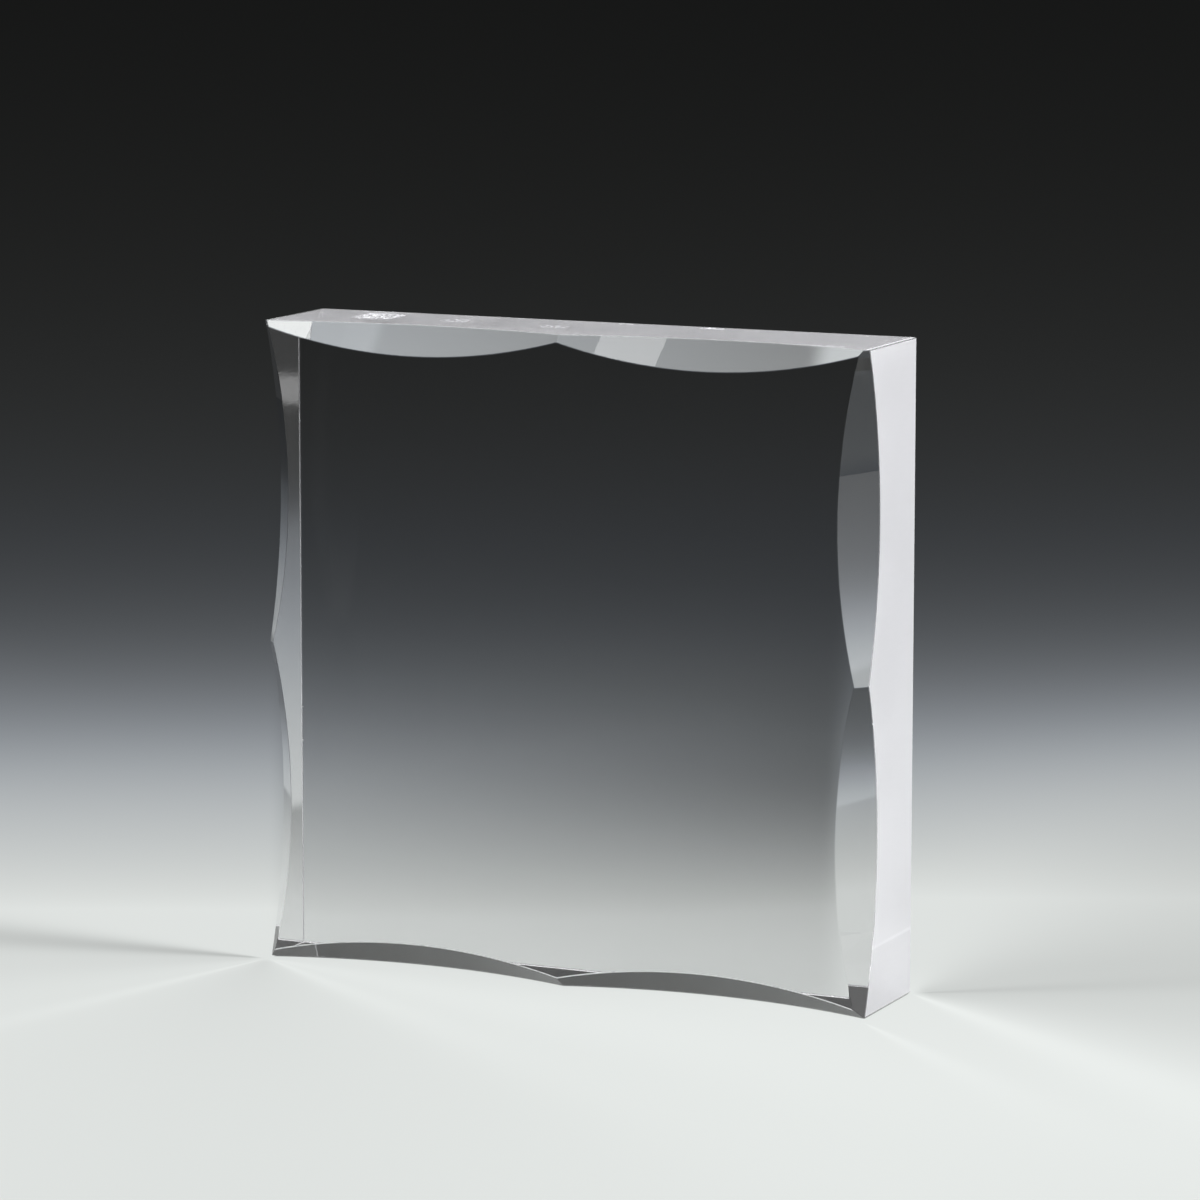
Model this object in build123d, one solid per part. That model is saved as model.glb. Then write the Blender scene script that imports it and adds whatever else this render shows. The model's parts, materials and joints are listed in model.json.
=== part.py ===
from build123d import *
import os
from math import cos, radians, sin

# Free-standing square block award, cut from one slab of clear crystal.
# Millimetres. X runs along the width, -Y is the front face, +Z is up.
# The origin is the middle of the resting face, halfway through the thickness.

# Slab
width = 127.0
height = 127.0
thickness = 25.4

# Scoops: two shallow hollows ground side by side along each edge of the front face,
# each the mark of a broad grinding wheel that was fed in square to a sloping bevel
wheel_radius = 160.0
wheel_run_out = 40.0  # wheel face left over beyond the edge, on either side of it
scoop_inward = 1.25  # each scoop's centre stands this much nearer the middle of its edge

# The depth is taken at the middle of a scoop, from the sharp edge, square to the bevel.
# The angle is the bevel's slope, from the outer face towards the front face.
scoop_depth = 4.5
bevel_angle = 37.0
# The top edge is ground at a slope and depth of its own
top_scoop_depth = 3.9
top_bevel_angle = 45.0

# Polish
arris_radius = 0.4  # rounding that the polishing pad leaves on every edge


def make_slab():
    """The sawn slab, standing on its bottom face."""
    return Box(width, thickness, height, align=(Align.CENTER, Align.CENTER, Align.MIN))


def make_wheel(edge_point, outward, depth, angle):
    """The grinding wheel at full depth, centred over one point of a front edge.

    outward is the direction square to the outer face that the edge belongs to.
    """
    slope = radians(angle)
    front = Vector(0, -1, 0)
    bevel_normal = outward * cos(slope) + front * sin(slope)
    across_bevel = outward * sin(slope) - front * cos(slope)
    hub = edge_point + bevel_normal * (wheel_radius - depth)
    return Plane(origin=hub, z_dir=across_bevel) * Cylinder(wheel_radius, 2 * wheel_run_out)


def make_wheels():
    """The eight wheel positions, two along each of the four front edges."""
    middle = Vector(0, -thickness / 2, height / 2)
    sideways = Vector(1, 0, 0)
    upwards = Vector(0, 0, 1)
    # outward direction, reach from the middle of the face, direction of the edge,
    # its length, depth and slope of its scoops
    edges = [
        (upwards, height / 2, sideways, width, top_scoop_depth, top_bevel_angle),
        (-upwards, height / 2, sideways, width, scoop_depth, bevel_angle),
        (sideways, width / 2, upwards, height, scoop_depth, bevel_angle),
        (-sideways, width / 2, upwards, height, scoop_depth, bevel_angle),
    ]
    wheels = []
    for outward, reach, along, length, depth, angle in edges:
        offset = length / 4 - scoop_inward
        for side in (-1, 1):
            edge_point = middle + outward * reach + along * (side * offset)
            wheels.append(make_wheel(edge_point, outward, depth, angle))
    return wheels


def make_crystal_block():
    """The slab with its scoops ground in and every edge given a fine polished arris."""
    block = make_slab() - make_wheels()
    return fillet(block.edges(), arris_radius)


os.makedirs("parts", exist_ok=True)
export_step(make_crystal_block(), "parts/crystal_block.step")
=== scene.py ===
"""Clear crystal award block with scoops ground along its four front edges.

The block is one solid piece: polished front and back, eight scoops ground by a large wheel, a rim that is
clear on the left and bottom, frosted on top and satin on the right, and fine broken arrises.  Painted light
is on it too: highlights on the arrises along the foot of the front face, reflection patches and a lighter
tone on the top rim, and a darker front face that carries part of the painted shade.  It stands on a floor
painted with a fall-off of light from pale to dark, with painted shade and streaks, under a soft overhead
light.  A side light, a strip light and two cards, none of which the camera sees, add to what shows in the
block.
"""

import json
import math

import bmesh
import bpy
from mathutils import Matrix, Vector

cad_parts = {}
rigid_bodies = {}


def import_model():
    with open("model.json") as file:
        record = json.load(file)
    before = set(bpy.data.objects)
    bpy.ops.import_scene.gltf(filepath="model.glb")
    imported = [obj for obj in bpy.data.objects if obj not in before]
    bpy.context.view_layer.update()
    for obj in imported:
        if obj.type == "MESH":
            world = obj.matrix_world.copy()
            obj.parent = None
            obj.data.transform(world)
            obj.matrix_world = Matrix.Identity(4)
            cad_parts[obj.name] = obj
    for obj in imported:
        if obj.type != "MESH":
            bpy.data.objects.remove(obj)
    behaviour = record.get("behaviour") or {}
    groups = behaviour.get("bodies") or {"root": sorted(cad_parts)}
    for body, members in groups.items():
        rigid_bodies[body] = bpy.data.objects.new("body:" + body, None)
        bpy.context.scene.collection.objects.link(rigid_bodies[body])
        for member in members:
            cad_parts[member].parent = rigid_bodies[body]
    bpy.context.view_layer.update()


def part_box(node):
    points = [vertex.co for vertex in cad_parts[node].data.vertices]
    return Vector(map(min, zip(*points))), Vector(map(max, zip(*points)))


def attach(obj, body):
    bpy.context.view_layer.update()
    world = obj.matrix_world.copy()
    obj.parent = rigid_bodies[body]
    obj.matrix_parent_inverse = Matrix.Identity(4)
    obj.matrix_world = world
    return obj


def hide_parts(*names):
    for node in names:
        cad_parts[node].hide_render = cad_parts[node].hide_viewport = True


bl_info = {
    "name": "Crystal Award Block",
    "version": (1, 0, 0),
    "blender": (4, 5, 0),
    "location": "3D View > Sidebar > Award",
    "description": "Makes a clear crystal award block and the floor, light and camera around it",
    "category": "Object",
}

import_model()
BLOCK_LOW, BLOCK_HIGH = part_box("crystal_block")
BLOCK_SIZE = BLOCK_HIGH - BLOCK_LOW
BLOCK_NAME = "crystal_award_block"

# The order of the finishes on the block, and the rim finish of the bottom, right, top and left sides.
FACE, BACK, SCOOP, CLEAR_RIM, TOP_RIM, SATIN_RIM, ARRIS, CLEAR_ARRIS, HIGHLIGHT_ARRIS = range(9)
RIM_SIDES = (CLEAR_RIM, SATIN_RIM, TOP_RIM, CLEAR_RIM)


# ---------------------------------------------------------------------------------------------------------
# Shader sums
# ---------------------------------------------------------------------------------------------------------


class Value:
    """A number that varies over a surface. Sums on it add the nodes that work them out."""

    def __init__(self, finish, socket):
        self.finish = finish
        self.socket = socket

    def _math(self, operation, *terms):
        return self.finish.node("ShaderNodeMath", {"operation": operation}, dict(enumerate(terms)))

    def __add__(self, other):
        return self._math("ADD", self, other)

    __radd__ = __add__

    def __sub__(self, other):
        return self._math("SUBTRACT", self, other)

    def __rsub__(self, other):
        return self._math("SUBTRACT", other, self)

    def __mul__(self, other):
        return self._math("MULTIPLY", self, other)

    __rmul__ = __mul__

    def __truediv__(self, other):
        return self._math("DIVIDE", self, other)

    def __rtruediv__(self, other):
        return self._math("DIVIDE", other, self)

    def __pow__(self, other):
        return self._math("POWER", self, other)

    def __neg__(self):
        return self * -1.0

    def __abs__(self):
        return self._math("ABSOLUTE", self)

    def at_least(self, other):
        return self._math("MAXIMUM", self, other)

    def at_most(self, other):
        return self._math("MINIMUM", self, other)

    def exp(self):
        return self._math("EXPONENT", self)


class Finish:
    """Builds the nodes of one material or world."""

    def __init__(self, owner):
        owner.use_nodes = True
        self.tree = owner.node_tree
        self.tree.nodes.clear()

    def node(self, kind, settings=None, sockets=None, out=0):
        """Adds a node: its settings first, then its sockets, each a plain value or a link.

        Returns the output asked for, or None when the node has no outputs.
        """
        made = self.tree.nodes.new(kind)
        for name, setting in (settings or {}).items():
            if name == "stops":
                self.set_stops(made.color_ramp, setting)
            else:
                setattr(made, name, setting)
        for key, value in (sockets or {}).items():
            if isinstance(value, Value):
                self.tree.links.new(value.socket, made.inputs[key])
            else:
                made.inputs[key].default_value = value
        return Value(self, made.outputs[out]) if made.outputs else None

    @staticmethod
    def set_stops(ramp, stops):
        """Gives a ramp its stops, as (place, colour) pairs."""
        while len(ramp.elements) < len(stops):
            ramp.elements.new(1.0)
        for element, (place, colour) in zip(ramp.elements, stops):
            element.position = place
            element.color = colour

    def place(self):
        """The point on the object, in its own axes."""
        return self.node("ShaderNodeTexCoord", out="Object")

    def axes(self, point):
        """The three parts of a vector."""
        made = self.tree.nodes.new("ShaderNodeSeparateXYZ")
        self.tree.links.new(point.socket, made.inputs[0])
        return [Value(self, output) for output in made.outputs]

    def vector(self, x, y, z):
        return self.node("ShaderNodeCombineXYZ", sockets={0: x, 1: y, 2: z})

    def noise(self, point, scale, detail=2.0, roughness=0.5, distortion=0.0):
        """Soft cloudy variation between 0 and 1."""
        return self.node(
            "ShaderNodeTexNoise",
            sockets={"Vector": point, "Scale": scale, "Detail": detail, "Roughness": roughness,
                     "Distortion": distortion},
        )

    def stretched(self, point, scale):
        """The point with its axes scaled, so that a texture runs long in one direction."""
        return self.node("ShaderNodeVectorMath", {"operation": "MULTIPLY"}, {0: point, 1: scale})

    def ramp(self, value, low, high):
        """0 below low, 1 above high, and smooth between."""
        return self.node(
            "ShaderNodeMapRange",
            {"interpolation_type": "SMOOTHSTEP"},
            {"Value": value, "From Min": low, "From Max": high, "To Min": 0.0, "To Max": 1.0},
        )

    def blend(self, amount, first, second):
        """Mixes two colours."""
        return self.node(
            "ShaderNodeMix",
            {"data_type": "RGBA"},
            {0: amount, 6: first, 7: second},
            out=2,
        )

    def bump(self, height, strength, distance):
        return self.node(
            "ShaderNodeBump", sockets={"Height": height, "Strength": strength, "Distance": distance}
        )

    def surface(self, shader):
        self.node("ShaderNodeOutputMaterial", sockets={"Surface": shader})


def new_finish(name):
    material = bpy.data.materials.new(name)
    return material, Finish(material)


def rgb(colour):
    return (*colour, 1.0)


# ---------------------------------------------------------------------------------------------------------
# Settings
# ---------------------------------------------------------------------------------------------------------


class BlockSettings(bpy.types.PropertyGroup):
    """Sizes and colours of the crystal block."""

    wheel_radius: bpy.props.FloatProperty(
        name="Wheel radius", description="Radius of the wheel that grinds the scoops",
        default=0.160, unit="LENGTH",
    )
    scoop_inward: bpy.props.FloatProperty(
        name="Scoop inward shift",
        description="How far each scoop's middle sits from the middle of its half edge, towards the centre",
        default=0.00125, unit="LENGTH",
    )
    scoop_depth: bpy.props.FloatProperty(
        name="Scoop depth", description="Depth of the bottom and side scoops, square to their slope",
        default=0.0045, unit="LENGTH",
    )
    scoop_angle: bpy.props.FloatProperty(
        name="Scoop slope", description="Slope of the bottom and side scoops, from the rim",
        default=math.radians(37.0), subtype="ANGLE",
    )
    top_depth: bpy.props.FloatProperty(
        name="Top scoop depth", description="Depth of the top scoops, square to their slope",
        default=0.0039, unit="LENGTH",
    )
    top_angle: bpy.props.FloatProperty(
        name="Top scoop slope", description="Slope of the top scoops, from the rim",
        default=math.radians(45.0), subtype="ANGLE",
    )
    arris_width: bpy.props.FloatProperty(
        name="Arris width", description="Width of the narrow band that breaks each edge",
        default=0.00030, unit="LENGTH",
    )
    scoop_steps: bpy.props.IntProperty(
        name="Scoop steps", description="Number of faces along each scoop", default=76, min=8,
    )
    crystal_colour: bpy.props.FloatVectorProperty(
        name="Crystal colour", description="Colour of the clear faces",
        default=(0.985, 0.988, 0.992), size=3, subtype="COLOR",
    )
    rim_colour: bpy.props.FloatVectorProperty(
        name="Rim colour", description="Colour of the satin and top rim sides and of the broken arrises",
        default=(0.875, 0.87, 0.905), size=3, subtype="COLOR",
    )


class StageSettings(bpy.types.PropertyGroup):
    """The floor, the lights and the camera."""

    camera_turn: bpy.props.FloatProperty(
        name="Camera turn",
        description="How far the camera stands to the right of the front. The floor's fade turns with it",
        default=math.radians(24.755), subtype="ANGLE",
    )
    camera_rise: bpy.props.FloatProperty(
        name="Camera rise", description="The camera's height above the aim point, as an angle",
        default=math.radians(9.066), subtype="ANGLE",
    )
    camera_reach: bpy.props.FloatProperty(
        name="Camera distance", description="Distance from the camera to the aim point",
        default=1.0236, unit="LENGTH",
    )
    camera_lens: bpy.props.FloatProperty(
        name="Camera lens", description="Focal length on a 36 mm wide sensor, in millimetres",
        default=158.85,
    )
    floor_level: bpy.props.FloatProperty(
        name="Floor level", description="How pale the whole floor is", default=0.995,
    )
    floor_reach: bpy.props.FloatProperty(
        name="Floor reach", description="Half the width of the floor", default=9.0, unit="LENGTH",
    )
    overhead: bpy.props.FloatProperty(
        name="Overhead light", description="Brightness of the soft overhead light", default=1.75,
    )
    side_light: bpy.props.FloatProperty(
        name="Side light", description="Power of the soft light on the right, which lights only the block",
        default=3.9, unit="POWER",
    )


# ---------------------------------------------------------------------------------------------------------
# The block's shape
# ---------------------------------------------------------------------------------------------------------

CORNER_ROUNDS = 20  # enough for the two places at a corner to settle
SHARP_ANGLE = math.radians(12)  # the scoops' own facets turn less than this
ARRIS_SEGMENTS = 3


class Edge:
    """One of the four front edges, with the scoops ground along it."""

    def __init__(self, middle, along, inward, length, depth, angle, settings):
        self.middle, self.along, self.inward = Vector(middle), Vector(along), Vector(inward)
        self.half = length / 2
        self.depth, self.angle = depth, angle
        self.radius = settings.wheel_radius
        self.centres = [side * (length / 4 - settings.scoop_inward) for side in (-1, 1)]

    def cut(self, s):
        """Depth of the grinding at s along the edge, square to its slope."""
        return max(
            self.depth - self.radius + math.sqrt(self.radius**2 - (s - centre) ** 2)
            for centre in self.centres
        )

    def face_inset(self, s):
        """How far the scoop reaches over the front face."""
        return self.cut(s) / math.cos(self.angle)

    def rim_inset(self, s):
        """How far the scoop reaches over the rim, measured back from the front."""
        return self.cut(s) / math.sin(self.angle)

    def point(self, s, inset=0.0, back=0.0):
        """A point at s along the edge, inset over the front face or back along the rim."""
        return self.middle + self.along * s + self.inward * inset + Vector((0, back, 0))


def block_edges(settings):
    """The four front edges, anticlockwise from the bottom one."""
    low, high, size = BLOCK_LOW, BLOCK_HIGH, BLOCK_SIZE
    centre_x, centre_z, front = (low.x + high.x) / 2, (low.z + high.z) / 2, low.y
    side = (settings.scoop_depth, settings.scoop_angle, settings)
    top = (settings.top_depth, settings.top_angle, settings)
    return [
        Edge((centre_x, front, low.z), (1, 0, 0), (0, 0, 1), size.x, *side),
        Edge((high.x, front, centre_z), (0, 0, 1), (-1, 0, 0), size.z, *side),
        Edge((centre_x, front, high.z), (-1, 0, 0), (0, 0, -1), size.x, *top),
        Edge((low.x, front, centre_z), (0, 0, -1), (1, 0, 0), size.z, *side),
    ]


def front_corner(ending, starting):
    """Where two edges' scoops meet on the front face, as a place along each edge."""
    s_end, s_start = ending.half, -starting.half
    for _ in range(CORNER_ROUNDS):
        s_end = ending.half - starting.face_inset(s_start)
        s_start = -starting.half + ending.face_inset(s_end)
    return s_end, s_start


def edge_steps(start, end, count):
    """Places along an edge, with one on the cusp between its two scoops."""
    first = [start * (1 - i / count) for i in range(count)]
    return first + [end * i / count for i in range(count + 1)]


def corner_path(ending, starting):
    """Points on the rim round one corner, and which of them the two scoops' shared line runs to."""
    back_end, back_start = ending.rim_inset(ending.half), starting.rim_inset(-starting.half)
    corner = ending.point(ending.half, back=max(back_end, back_start))
    if math.isclose(back_end, back_start, rel_tol=1e-6):
        return [corner], 0
    if back_end < back_start:
        reach = starting.face_inset(-starting.half) * (1 - back_end / back_start)
        s = ending.half - reach
        return [ending.point(s, back=ending.rim_inset(s)), corner], 0
    reach = ending.face_inset(ending.half) * (1 - back_start / back_end)
    s = reach - starting.half
    return [corner, starting.point(s, back=starting.rim_inset(s))], 1


def build_block(settings):
    """The block as a mesh with sharp edges, each face carrying its finish."""
    mesh = bmesh.new()
    edges = block_edges(settings)
    corners = [front_corner(edges[i], edges[(i + 1) % 4]) for i in range(4)]
    face_ring = [
        mesh.verts.new(edges[i].point(corners[i - 1][1], inset=edges[i].face_inset(corners[i - 1][1])))
        for i in range(4)
    ]
    front, rim_front, scoops, rim_finish = [], [], [], []
    for i, edge in enumerate(edges):
        steps = edge_steps(corners[i - 1][1], corners[i][0], settings.scoop_steps)
        inner = [face_ring[i]]
        inner += [mesh.verts.new(edge.point(s, inset=edge.face_inset(s))) for s in steps[1:-1]]
        inner.append(face_ring[(i + 1) % 4])
        outer = [mesh.verts.new(edge.point(s, back=edge.rim_inset(s))) for s in steps]
        scoops += [(inner[k], outer[k], outer[k + 1], inner[k + 1]) for k in range(len(steps) - 1)]
        path, split = corner_path(edge, edges[(i + 1) % 4])
        turn = [mesh.verts.new(point) for point in path]
        front += inner[:-1]
        rim_front += outer + turn
        turned = [i] * (split + 1) + [(i + 1) % 4] * (len(turn) - split - 1)
        sides = [i] * len(outer) + turned[1:] + [(i + 1) % 4]
        rim_finish += [RIM_SIDES[side] for side in sides]
        scoops.append([inner[-1], outer[-1], *turn[: split + 1]])
        scoops.append([inner[-1], *turn[split:], len(rim_front)])
    scoops = [
        [rim_front[v % len(rim_front)] if isinstance(v, int) else v for v in scoop] for scoop in scoops
    ]
    rim_back = [mesh.verts.new((v.co.x, BLOCK_HIGH.y, v.co.z)) for v in rim_front]
    count = len(rim_front)
    for finish, rings in ((FACE, [front]), (BACK, [rim_back[::-1]]), (SCOOP, scoops)):
        for ring in rings:
            mesh.faces.new(ring).material_index = finish
    for k, finish in enumerate(rim_finish):
        after = (k + 1) % count
        rim = mesh.faces.new((rim_front[k], rim_back[k], rim_back[after], rim_front[after]))
        rim.material_index = finish
    bmesh.ops.recalc_face_normals(mesh, faces=mesh.faces)
    return mesh


def break_arrises(mesh, width):
    """Rolls every sharp edge to a narrow rounded band."""
    sharp = [e for e in mesh.edges if e.calc_face_angle(0.0) > SHARP_ANGLE]
    bmesh.ops.bevel(
        mesh, geom=sharp, offset=width, offset_type="WIDTH", segments=ARRIS_SEGMENTS, profile=0.5,
        affect="EDGES", clamp_overlap=True, loop_slide=True, material=ARRIS,
    )


def sort_arrises(mesh):
    """Clears the arrises inside the outline, and gives the ones along the foot of the front face a painted
    highlight.
    """
    near, foot = 0.00035, 0.008  # how close counts as on a surface, and how high the painted highlight arrises reach
    for face in mesh.faces:
        if face.material_index != ARRIS:
            continue
        spot = face.calc_center_median()
        height = spot.z - BLOCK_LOW.z
        side_gap = min(spot.x - BLOCK_LOW.x, BLOCK_HIGH.x - spot.x)
        rim_gap = min(side_gap, height, BLOCK_HIGH.z - spot.z)
        # Arrises low on the front face get the painted highlight.
        if spot.y < BLOCK_LOW.y + near and height < min(foot, side_gap):
            face.material_index = HIGHLIGHT_ARRIS
        elif rim_gap > near and spot.y < BLOCK_HIGH.y - near:
            face.material_index = CLEAR_ARRIS


def true_normals(mesh):
    """One normal for each point: its own ground or polished surface's, or the mean on an arris."""
    normals = []
    for vert in mesh.verts:
        ground = [f.normal for f in vert.link_faces if f.material_index < ARRIS]
        around = ground or [f.normal for f in vert.link_faces]
        normals.append(sum(around, Vector()).normalized())
    return normals


# ---------------------------------------------------------------------------------------------------------
# The block's finishes
# ---------------------------------------------------------------------------------------------------------


CRYSTAL_IOR = 1.5
WHITE = (1.0, 1.0, 1.0, 1.0)


def polished_crystal(name, settings, glint=1.0, clear=1.0):
    """Clear polished crystal with very faint haze.

    A glint under 1 weakens its mirror reflections, and a clear under 1 darkens what is seen through it.
    """
    haze_scale, haze_roughness = 90.0, 0.012
    wipe_stretch, wipe_shade = (30.0, 30.0, 140.0), 0.992
    material, finish = new_finish(name)
    point = finish.place()
    haze = finish.noise(point, haze_scale, detail=5.0, roughness=0.6)
    wipe = finish.noise(finish.stretched(point, wipe_stretch), 1.0, detail=3.0)
    # On the front face a clear under 1 carries part of the painted shade behind the block.
    colour = [c * clear for c in settings.crystal_colour]
    wiped = [c * wipe_shade for c in colour]
    finish.surface(finish.node(
        "ShaderNodeBsdfPrincipled",
        sockets={
            "Base Color": finish.blend(finish.ramp(wipe, 0.3, 0.7), rgb(colour), rgb(wiped)),
            "Roughness": haze_roughness * finish.ramp(haze, 0.45, 0.8),
            "IOR": CRYSTAL_IOR,
            "Specular Tint": (glint, glint, glint, 1.0),
            "Transmission Weight": 1.0,
        },
    ))
    return material


# Bright crinkled patches on the top rim, a painted reflection of what lies under the block: their middle,
# across and back, their half sizes, across and back, and their strength.
TOP_PAINTED_REFLECTIONS = (
    (-0.0462, 0.0040, 0.0046, 0.0055, 1.0),
    (-0.0290, 0.0030, 0.0030, 0.0030, 0.35),
    (-0.0068, 0.0010, 0.0030, 0.0020, 0.35),
    (0.0040, 0.0112, 0.0016, 0.0008, 0.9),
    (0.0220, 0.0108, 0.0028, 0.0010, 0.9),
    (0.0520, -0.0088, 0.0060, 0.0012, 0.25),
)


def painted_reflection_amount(finish, point, painted_patches):
    """Crinkled bright patches with rounded corners, a painted reflection, as an amount from 0 to 1."""
    crinkle_scale, smooth_part = 760.0, 0.06
    x, y, _ = finish.axes(point)
    crinkle = finish.noise(point, crinkle_scale, detail=3.0, roughness=0.65, distortion=2.0)
    crinkle = finish.ramp(crinkle, 0.50, 0.64)
    amount = 0.0
    for middle, back, half_wide, half_deep, strength in painted_patches:
        off = ((x - middle) / half_wide) ** 4.0 + ((y - back) / half_deep) ** 4.0
        amount = amount + strength * (1.0 - finish.ramp(off, 0.4, 1.1))
    return (amount * (smooth_part + (1.0 - smooth_part) * crinkle)).at_most(1.0)


def darker_foot(finish, point, pale, colour, foot):
    """Darkens a rim side up to the height of its foot, and draws a thin pale line there."""
    line_core, line_edge, fade = 0.0001, 0.0005, 0.0004
    below_amount, below_shade = 0.8, 0.90
    line_amount, line_shade = 0.7, 1.08
    _, _, z = finish.axes(point)
    height = z - BLOCK_LOW.z
    line = 1.0 - finish.ramp(abs(height - foot), line_core, line_edge)
    below = 1.0 - finish.ramp(height, foot - fade, foot)
    pale = finish.blend(below_amount * below, pale, rgb([c * below_shade for c in colour]))
    return finish.blend(line_amount * line, pale, rgb([min(1.0, c * line_shade) for c in colour]))


def rim_finish(name, colour, clear, smooth, painted_patches=(), foot=0.0):
    """A rim side: how clear it is, the range of its roughness, and any painted reflection patches or a
    darker foot.
    """
    grain_stretch, cloud_scale, cloud_shade = (1600.0, 260.0, 1600.0), 42.0, 0.95
    grain_strength, grain_height = 0.05, 0.00002
    reflection_white = (0.95, 0.95, 1.0, 1.0)
    material, finish = new_finish(name)
    point = finish.place()
    grain = finish.noise(finish.stretched(point, grain_stretch), 1.0, detail=3.0)
    cloud = finish.noise(point, cloud_scale, detail=3.0)
    clouded = [c * cloud_shade for c in colour]
    pale = finish.blend(finish.ramp(cloud, 0.3, 0.7), rgb(colour), rgb(clouded))
    if foot:
        pale = darker_foot(finish, point, pale, colour, foot)
    shader = finish.node(
        "ShaderNodeBsdfPrincipled",
        sockets={
            "Base Color": pale,
            "Roughness": smooth[0] + (smooth[1] - smooth[0]) * grain,
            "IOR": CRYSTAL_IOR,
            "Transmission Weight": clear,
            "Normal": finish.bump(grain, grain_strength, grain_height),
        },
    )
    # Painted reflection: the bright patches mix the rim towards a white diffuse.
    if painted_patches:
        white = finish.node("ShaderNodeBsdfDiffuse", sockets={"Color": reflection_white})
        amount = painted_reflection_amount(finish, point, painted_patches)
        shader = finish.node("ShaderNodeMixShader", sockets={0: amount, 1: shader, 2: white})
    finish.surface(shader)
    return material


def broken_arris(settings):
    """Narrow ground bands, clear for most of their length, with small white nicks."""
    nick_scale, run_scale = 900.0, 60.0
    polish, chipped_roughness = 0.05, 0.4
    chip_strength, chip_depth = 0.4, 0.00005
    material, finish = new_finish("broken arris")
    point = finish.place()
    nicks = finish.noise(point, nick_scale, detail=4.0, roughness=0.65)
    runs = finish.noise(point, run_scale, detail=2.0)
    chips = finish.ramp(nicks, 0.58, 0.66) * finish.ramp(runs, 0.50, 0.62)
    finish.surface(finish.node(
        "ShaderNodeBsdfPrincipled",
        sockets={
            "Base Color": finish.blend(chips, rgb(settings.rim_colour), WHITE),
            "Roughness": polish + chipped_roughness * chips,
            "IOR": CRYSTAL_IOR,
            "Transmission Weight": 0.92,
            "Normal": finish.bump(nicks * chips, chip_strength, chip_depth),
        },
    ))
    return material


def painted_highlight_arris():
    """Narrow bands painted white with darker specks: a painted highlight along the foot of the front face.
    """
    speck_scale = 700.0
    pale, dark = (0.97, 0.97, 0.98, 1.0), (0.6, 0.6, 0.63, 1.0)
    material, finish = new_finish("painted highlight arris")
    specks = finish.ramp(finish.noise(finish.place(), speck_scale, detail=3.0), 0.55, 0.72)
    finish.surface(finish.node(
        "ShaderNodeBsdfPrincipled",
        sockets={
            "Base Color": finish.blend(specks, pale, dark),
            "Roughness": 0.5,
            "IOR": CRYSTAL_IOR,
            "Transmission Weight": 0.1,
        },
    ))
    return material


def block_finishes(settings):
    """The block's finishes, in the order of their numbers from FACE to HIGHLIGHT_ARRIS."""
    # The top rim is painted 2 percent lighter than the rim colour: a painted highlight for the light on
    # top.
    lit_top_colour = [c * 1.02 for c in settings.rim_colour]
    return [
        # The face's clear of 0.82 darkens all seen through it: part of the painted shade behind the block.
        polished_crystal("polished face", settings, clear=0.82),
        polished_crystal("polished back", settings, glint=0.15),
        polished_crystal("ground scoop", settings),
        rim_finish("clear rim", settings.crystal_colour, clear=0.96, smooth=(0.02, 0.06)),
        rim_finish("top rim", lit_top_colour, clear=0.62, smooth=(0.12, 0.22), painted_patches=TOP_PAINTED_REFLECTIONS),
        rim_finish("satin rim", settings.rim_colour, clear=0.50, smooth=(0.45, 0.60), foot=0.0128),
        broken_arris(settings),
        polished_crystal("clear arris", settings),
        painted_highlight_arris(),
    ]


class AWARD_OT_crystal_block(bpy.types.Operator):
    """Make the crystal block with its scoops, rim and arrises"""

    bl_idname = "award.crystal_block"
    bl_label = "Crystal Block"

    def execute(self, context):
        settings = context.scene.award_block
        mesh = build_block(settings)
        break_arrises(mesh, settings.arris_width)
        sort_arrises(mesh)
        if not all(edge.is_manifold for edge in mesh.edges):
            raise RuntimeError("the block's surface is not closed")
        normals = true_normals(mesh)
        data = bpy.data.meshes.new(BLOCK_NAME)
        mesh.to_mesh(data)
        mesh.free()
        data.shade_smooth()
        data.normals_split_custom_set_from_vertices(normals)
        for material in block_finishes(settings):
            data.materials.append(material)
        block = bpy.data.objects.new(BLOCK_NAME, data)
        context.scene.collection.objects.link(block)
        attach(block, "root")
        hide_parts("crystal_block")
        block.visible_diffuse = block.visible_shadow = False
        return {"FINISHED"}


# ---------------------------------------------------------------------------------------------------------
# The stage
# ---------------------------------------------------------------------------------------------------------


# Streaks of light and shade round the block's foot: the corner they leave, as signs of x and y, their
# heading in degrees, spread, reach in metres, and how much they add.
FLOOR_STREAKS = (
    ((-1, -1), -106, 0.07, 0.06, 0.09),
    ((-1, -1), -34, 0.10, 0.08, 0.08),
    ((-1, -1), -175, 0.18, 0.25, -0.26),
    ((-1, -1), -155, 0.45, 0.22, -0.10),
    ((-1, -1), -72, 0.50, 0.05, -0.10),
    ((-1, -1), -16, 0.25, 0.25, 0.06),
    ((1, 1), 34, 0.13, 0.05, -0.10),
    ((1, 1), 35, 1.30, 0.90, -0.20),
    ((1, 1), -36, 0.14, 0.15, 0.08),
    ((1, -1), -42, 0.10, 0.04, 0.08),
)


def streak(finish, x, y, start, heading, spread, reach):
    """A wedge of light or shade on the floor that leaves a point and fades with distance."""
    tip, fade_in = 0.0005, 0.004
    along_x, along_y = math.cos(math.radians(heading)), math.sin(math.radians(heading))
    x, y = x - start[0], y - start[1]
    along = x * along_x + y * along_y
    off = y * along_x - x * along_y
    lean = off / along.at_least(tip) / spread
    return (-(lean * lean) - along / reach).exp() * finish.ramp(along, 0.0, fade_in)


def falloff(distance, peak, reach, power):
    """Falls from its peak to half of it at reach, and more sharply for a higher power."""
    return peak / (1.0 + (distance / reach) ** power)


def beyond(value, start, rate):
    """How far a value is past its start, times a rate."""
    return (value - start).at_least(0.0) * rate


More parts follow.
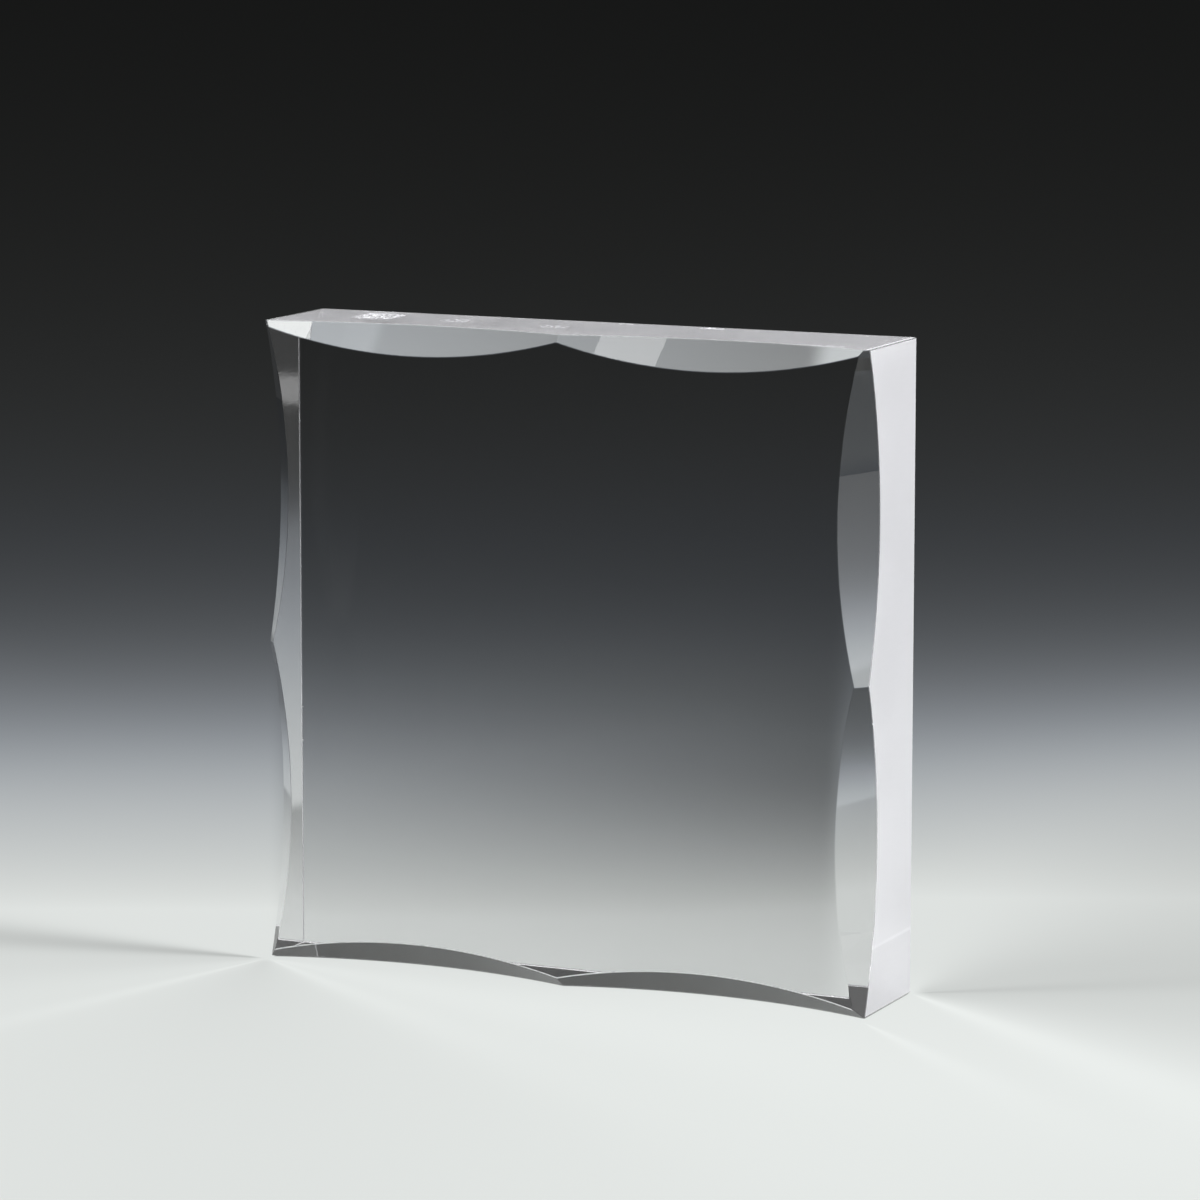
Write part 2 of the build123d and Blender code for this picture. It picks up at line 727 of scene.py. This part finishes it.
def painted_falloff(finish, across, behind):
    """How pale the floor is: a painted fall-off of light, fading with distance, mostly towards the back.

    Places are in block widths. The numbers were fitted to one view and stand for no measured floor.
    """
    corner_power, base, palest = 4.0, 0.0075, 0.79
    aside = across / (behind + 0.05).at_least(0.05)
    far = behind.at_least(0.0) * (1.0 - 0.15 * finish.ramp(aside, 0.2, 0.8))
    near = beyond(-behind, 1.5, rate=1.6)
    left = beyond(-across, 1.3, rate=1.6)
    right = beyond(across, 3.0, rate=6.0)
    distance = far**corner_power + near**corner_power + left**corner_power + right**corner_power
    distance = distance ** (1.0 / corner_power)
    pale = falloff(distance, 0.375, reach=2.027, power=4.864)
    pale = pale + falloff(distance, 0.8, reach=0.491, power=1.386)
    far_left = 0.035 * finish.ramp(-aside, 0.36, 0.54) * finish.ramp(behind, 2.0, 4.0)
    return (pale + base + far_left).at_most(palest)


def painted_shade(finish, across, behind, y):
    """Shade painted on the floor behind the block, from 0 to 1, which darkens what shows through it.

    It isn't cast by any light. Its sides follow lines of sight from the camera's own place, so the block
    hides it from there, and it shows as a grey band from elsewhere.
    """
    widening = 0.1255  # how much wider the view grows for each block width behind
    half_y = BLOCK_SIZE.y / 2
    bearing = across / (1.0 + widening * behind.at_least(0.0))
    shade = (0.47 + 0.54 * bearing) * (0.30 + 0.78 * finish.ramp(behind, 0.0, 1.8))
    shade = falloff(behind.at_least(0.0), shade, reach=3.6, power=4.5)
    shade = shade * finish.ramp(bearing, -0.49, -0.445) * (1.0 - finish.ramp(bearing, 0.384, 0.466))
    return shade * finish.ramp(y, 0.9 * half_y, half_y)


def contact_shade(finish, x, y):
    """Shade under the block, from 0 to 1, behind the curved front line of its resting face."""
    scoop_back, scoop_middle, scoop_bend = 0.0075, 0.0305, 5.2
    line_soft, side_soft = 0.0006, 0.0005
    half_x, half_y = BLOCK_SIZE.x / 2, BLOCK_SIZE.y / 2
    foot = y - (scoop_back - half_y) + (abs(x) - scoop_middle) ** 2.0 * scoop_bend
    under = finish.ramp(foot, 0.0, line_soft) * (1.0 - finish.ramp(abs(x), half_x - side_soft, half_x))
    return under * (1.0 - finish.ramp(y, half_y - side_soft, half_y))


def graduated_floor(settings):
    """A floor painted with light: a fall-off from pale to dark, painted shade, a painted pool of light in
    front and painted streaks of light and shade round the block.

    The painted fall-off and the painted shade are laid along the camera's heading, not the block's.
    """
    contact_strength = 0.85
    material, finish = new_finish("graduated floor")
    x, y, _ = finish.axes(finish.place())
    turn, unit = settings.camera_turn, BLOCK_SIZE.x
    across = (x * math.cos(turn) + y * math.sin(turn)) / unit
    behind = (y * math.cos(turn) - x * math.sin(turn)) / unit
    pale = painted_falloff(finish, across, behind)
    shade = painted_shade(finish, across, behind, y)
    under = contact_shade(finish, x, y)
    # A painted pool of light on the floor in front of the block.
    front = finish.ramp(across, -0.6, 0.5) * finish.ramp(-behind, -0.1, 0.2)
    light = (0.965 + 0.06 * front) * (1.0 - shade) * (1.0 - contact_strength * under)
    for start, heading, spread, reach, amount in FLOOR_STREAKS:
        corner = (start[0] * BLOCK_SIZE.x / 2, start[1] * BLOCK_SIZE.y / 2)
        light = light + amount * streak(finish, x, y, corner, heading, spread, reach)
    cool = finish.ramp(pale, 0.012, 0.05) * (1.0 - finish.ramp(pale, 0.2, 0.75))
    tint = finish.blend(cool, finish.vector(0.975, 1.01, 0.99), finish.vector(0.93, 1.0, 1.08))
    level = pale * light * settings.floor_level
    colour = finish.node(
        "ShaderNodeVectorMath", {"operation": "MULTIPLY"}, {0: tint, 1: finish.vector(level, level, level)}
    )
    finish.surface(finish.node(
        "ShaderNodeBsdfPrincipled",
        sockets={"Base Color": colour, "Roughness": 0.9, "Specular IOR Level": 0.0},
    ))
    return material


# The overhead light's brightness by height, from the horizon at 0 to straight up at 1.
SKY_STOPS = (
    (0.0, 0.015), (0.10, 0.018), (0.22, 0.020), (0.45, 0.008), (0.57, 0.12), (0.77, 0.90), (1.0, 1.0),
)


def overhead_world(context, settings):
    """A soft overhead light, nearly dark from about 27 degrees above the horizon down."""
    world = bpy.data.worlds.new("studio")
    context.scene.world = world
    finish = Finish(world)
    direction = finish.node("ShaderNodeTexCoord", out="Generated")
    _, _, height = finish.axes(direction)
    light = finish.node(
        "ShaderNodeValToRGB",
        {"stops": [(place, rgb((grey, grey, grey))) for place, grey in SKY_STOPS]},
        {"Fac": height.at_least(0.0)},
    )
    shader = finish.node(
        "ShaderNodeBackground", sockets={"Color": light, "Strength": settings.overhead}
    )
    finish.node("ShaderNodeOutputWorld", sockets={"Surface": shader})


def make_floor(context, settings):
    floor_drop = 0.0002  # so that the floor and the resting face don't share a plane
    mesh = bmesh.new()
    bmesh.ops.create_grid(mesh, x_segments=4, y_segments=4, size=settings.floor_reach)
    data = bpy.data.meshes.new("floor")
    mesh.to_mesh(data)
    mesh.free()
    data.materials.append(graduated_floor(settings))
    floor = bpy.data.objects.new("floor", data)
    floor.location.z = BLOCK_LOW.z - floor_drop
    context.scene.collection.objects.link(floor)


def area_light(context, name, size, power, location):
    """A rectangular light, pointing down, that neither the camera nor light through the block sees."""
    data = bpy.data.lights.new(name, "AREA")
    data.shape, data.energy = "RECTANGLE", power
    data.size, data.size_y = size
    light = bpy.data.objects.new(name, data)
    light.location = location
    light.visible_camera = light.visible_transmission = False
    context.scene.collection.objects.link(light)
    return light


def make_side_light(context, settings):
    """A soft light on the right that lights the block alone and shows in no reflection."""
    light = area_light(context, "side light", (0.2, 0.2), settings.side_light, (0.40, -0.10, 0.44))
    aim = Vector((0, 0, BLOCK_HIGH.z / 2)) - light.location
    light.rotation_mode = "QUATERNION"
    light.rotation_quaternion = aim.to_track_quat("-Z", "Y")
    light.visible_glossy = False
    receivers = bpy.data.collections.new("lit from the side")
    for thing in context.scene.objects:
        if thing.name == BLOCK_NAME:
            receivers.objects.link(thing)
    light.light_linking.receiver_collection = receivers


def make_strip_light(context):
    """A small overhead strip that glints in the left ends of the top scoops."""
    area_light(context, "strip light", (0.11, 0.5), 0.66, (-0.245, -0.175, 1.08))


# The corners of the two cards, one upright at the right and one flat on the floor behind.
RIGHT_CARD = ((0.49, -0.35, 0), (0.49, 0.15, 0), (0.49, 0.15, 0.585), (0.49, -0.35, 0.585))
BACK_CARD = ((0.35, 0.80, 0.0004), (0.41, 0.80, 0.0004), (0.41, 0.88, 0.0004), (0.35, 0.88, 0.0004))


def make_card(context, name, corners, level):
    """A glowing card that the camera and the floor don't see, so that it shows only in the block."""
    material, finish = new_finish(name)
    finish.surface(finish.node("ShaderNodeEmission", sockets={"Color": WHITE, "Strength": level}))
    mesh = bmesh.new()
    mesh.faces.new([mesh.verts.new(corner) for corner in corners])
    data = bpy.data.meshes.new(name)
    mesh.to_mesh(data)
    mesh.free()
    data.materials.append(material)
    card = bpy.data.objects.new(name, data)
    context.scene.collection.objects.link(card)
    card.visible_camera = card.visible_diffuse = card.visible_shadow = False
    return card


def make_camera(context, settings):
    """A long lens, a little above the block and round to its right."""
    aim_across, aim_up = 0.0266, 0.5865  # in block widths and block heights
    data = bpy.data.cameras.new("camera")
    data.lens, data.sensor_width = settings.camera_lens, 36.0
    data.clip_start, data.clip_end = 0.05, 30.0
    camera = bpy.data.objects.new("camera", data)
    aim = Vector((aim_across * BLOCK_SIZE.x, 0.0, aim_up * BLOCK_SIZE.z))
    turn, rise = settings.camera_turn, settings.camera_rise
    out = Vector((math.sin(turn) * math.cos(rise), -math.cos(turn) * math.cos(rise), math.sin(rise)))
    camera.location = aim + out * settings.camera_reach
    camera.rotation_mode = "QUATERNION"
    camera.rotation_quaternion = (-out).to_track_quat("-Z", "Y")
    context.scene.collection.objects.link(camera)
    context.scene.camera = camera


LIGHT_BOUNCES = 24


class AWARD_OT_stage(bpy.types.Operator):
    """Make the floor, the lights, the cards and the camera"""

    bl_idname = "award.stage"
    bl_label = "Stage"

    def execute(self, context):
        settings = context.scene.award_stage
        make_floor(context, settings)
        overhead_world(context, settings)
        make_side_light(context, settings)
        make_strip_light(context)
        right_card = make_card(context, "right card", RIGHT_CARD, 1.3)
        right_card.visible_transmission = False
        make_card(context, "back card", BACK_CARD, 0.24)
        make_camera(context, settings)
        context.scene.view_settings.view_transform = "Standard"
        paths = context.scene.cycles
        paths.max_bounces = paths.transmission_bounces = paths.glossy_bounces = LIGHT_BOUNCES
        return {"FINISHED"}


class AWARD_PT_award(bpy.types.Panel):
    """Settings and buttons for the crystal award"""

    bl_idname = "AWARD_PT_award"
    bl_label = "Crystal Award"
    bl_space_type = "VIEW_3D"
    bl_region_type = "UI"
    bl_category = "Award"

    def draw(self, context):
        for group, operator in (("award_block", AWARD_OT_crystal_block), ("award_stage", AWARD_OT_stage)):
            settings = getattr(context.scene, group)
            box = self.layout.box()
            for name in settings.bl_rna.properties.keys():
                if name not in {"rna_type", "name"}:
                    box.prop(settings, name)
            box.operator(operator.bl_idname)


CLASSES = (BlockSettings, StageSettings, AWARD_OT_crystal_block, AWARD_OT_stage, AWARD_PT_award)


def register():
    for cls in CLASSES:
        bpy.utils.register_class(cls)
    bpy.types.Scene.award_block = bpy.props.PointerProperty(type=BlockSettings)
    bpy.types.Scene.award_stage = bpy.props.PointerProperty(type=StageSettings)


def unregister():
    del bpy.types.Scene.award_stage
    del bpy.types.Scene.award_block
    for cls in reversed(CLASSES):
        bpy.utils.unregister_class(cls)


def main():
    register()
    bpy.ops.award.crystal_block()
    bpy.ops.award.stage()


if __name__ == "__main__":
    main()
